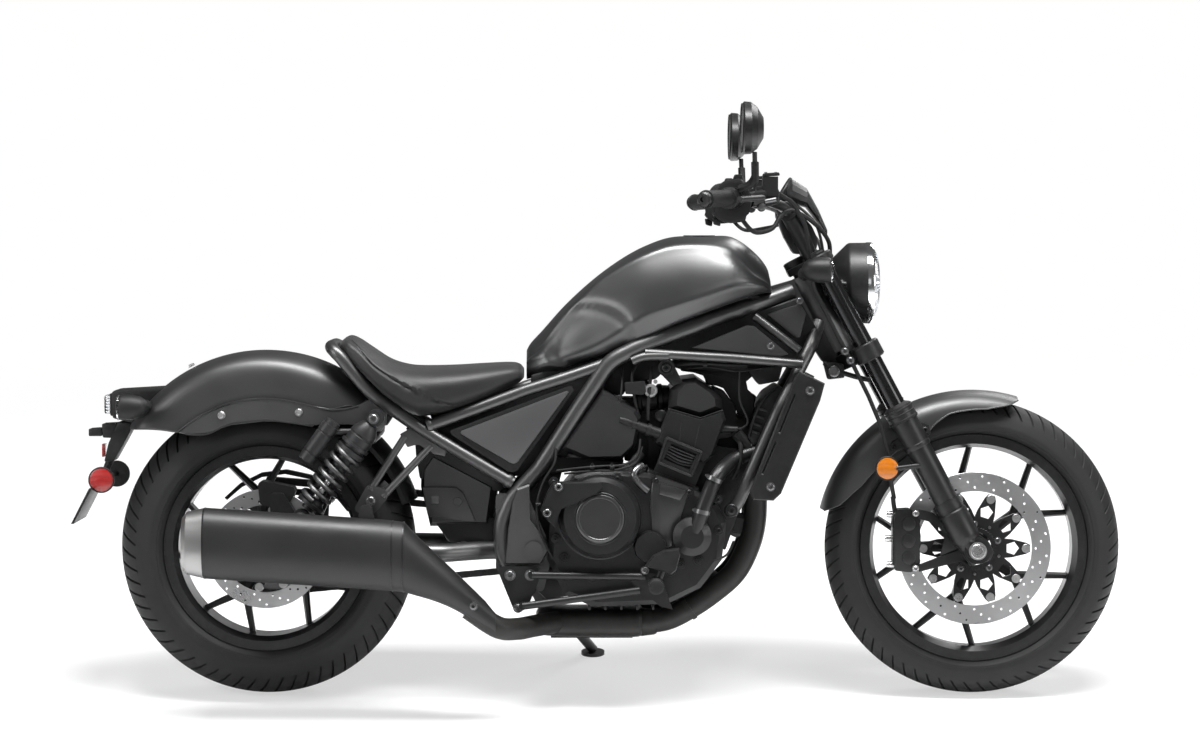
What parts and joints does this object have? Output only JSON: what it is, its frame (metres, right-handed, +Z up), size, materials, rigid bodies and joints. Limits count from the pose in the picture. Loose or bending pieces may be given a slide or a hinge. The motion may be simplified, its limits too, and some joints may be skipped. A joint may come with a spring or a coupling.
{
  "type": "cruiser motorcycle",
  "caption": "Cruiser motorcycle with a tube frame round its open engine, raked fork, low seat, side silencer and cast spoked wheels; it leans parked on its side stand.",
  "frame": {"origin": "middle of the bounding box on the floor", "axes": "+X is the way the machine faces, +Y its left, +Z up; it leans to +Y on its side stand"},
  "size_m": [2.268, 0.8746, 1.3091],
  "materials": {
    "tank_paint": "satin dark gunmetal",
    "fender_paint": "satin black",
    "frame_gloss": "semi-gloss black",
    "black_metal": "satin black coat",
    "engine_black": "satin black over castings",
    "brushed_cap": "brushed",
    "bare_alloy": "machined",
    "dark_chrome": "dark plated",
    "disc_steel": "ground",
    "black_plastic": "fine grain",
    "core_metal": "fine black fins",
    "shock_metal": "black coil over alloy body",
    "clear_lens": "moulded clear lens",
    "amber_lens": "moulded reflector",
    "grip_rubber": "ribbed",
    "tyre_rubber": "road tread",
    "seat_leather": "stitched vinyl over foam"
  },
  "bodies": {
    "root": {"frame_head": "frame_gloss", "frame_main": "frame_gloss", "frame_down": "frame_gloss", "seat_loop": "frame_gloss", "fuel_tank": "tank_paint", "seat": "seat_leather", "rear_fender": "fender_paint", "inner_fender": "black_plastic", "fender_stays": "frame_gloss", "tail_lamp": "clear_lens", "plate_bracket": "black_plastic", "rear_signals": "black_plastic", "swingarm": "frame_gloss", "shocks": "shock_metal", "crankcase": "engine_black", "cylinders": "engine_black", "cylinder_head": "engine_black", "head_cover": "engine_black", "clutch_cover": "engine_black", "engine_covers": "engine_black", "water_pump": "engine_black", "exhaust_pipes": "black_metal", "silencer": "black_metal", "silencer_cap": "brushed_cap", "frame_brackets": "frame_gloss", "radiator": "core_metal", "radiator_shroud": "black_plastic", "inlet_cover": "black_plastic", "side_covers": "black_plastic", "battery_box": "black_plastic", "frame_panels": "black_plastic", "drive_chain": "disc_steel", "chain_guard": "black_plastic", "rider_pegs": "bare_alloy", "foot_levers": "black_metal", "rear_caliper": "black_metal"},
    "steering": {"fork_clamps": "black_metal", "fork_tubes": "dark_chrome", "fork_sliders": "black_metal", "front_axle": "bare_alloy", "headlamp": "black_metal", "front_signals": "black_plastic", "meter_cowl": "fender_paint", "handlebar": "black_metal", "grips": "grip_rubber", "bar_controls": "black_metal", "mirrors": "black_plastic", "front_fender": "fender_paint", "front_caliper": "black_metal", "fork_reflectors": "amber_lens", "brake_hose": "grip_rubber"},
    "front_wheel": {"front_tyre": "tyre_rubber", "front_wheel_rim": "black_metal", "front_disc": "disc_steel"},
    "rear_wheel": {"rear_tyre": "tyre_rubber", "rear_wheel_rim": "black_metal", "rear_disc": "disc_steel", "rear_sprocket": "disc_steel"},
    "stand": {"side_stand": "frame_gloss"},
    "fuel_cap": {"tank_cap": "dark_chrome"}
  },
  "joints": [
    {"name": "steer", "type": "hinge", "parent": "root", "child": "steering", "pos_m": [0.531, -0.06317, 0.7316], "axis": [-0.4695, 0.1533, 0.8695], "range_deg": [-34, 34]},
    {"name": "front_wheel_spin", "type": "hinge", "parent": "steering", "child": "front_wheel", "pos_m": [0.816, -0.13677, 0.31423], "axis": [0, 0.9848, -0.1736], "continuous": true},
    {"name": "rear_wheel_spin", "type": "hinge", "parent": "root", "child": "rear_wheel", "pos_m": [-0.704, -0.1367, 0.31464], "axis": [0, 0.9848, -0.1736], "continuous": true},
    {"name": "side_stand_fold", "type": "hinge", "parent": "root", "child": "stand", "pos_m": [-0.1, -0.03263, 0.15616], "axis": [0.1604, 0.9323, 0.3241], "range_deg": [0, 108]},
    {"name": "fuel_cap_lid", "type": "hinge", "parent": "root", "child": "fuel_cap", "pos_m": [0.26, -0.02018, 0.97545], "axis": [0, 0.9848, -0.1736], "range_deg": [0, 85]}
  ]
}
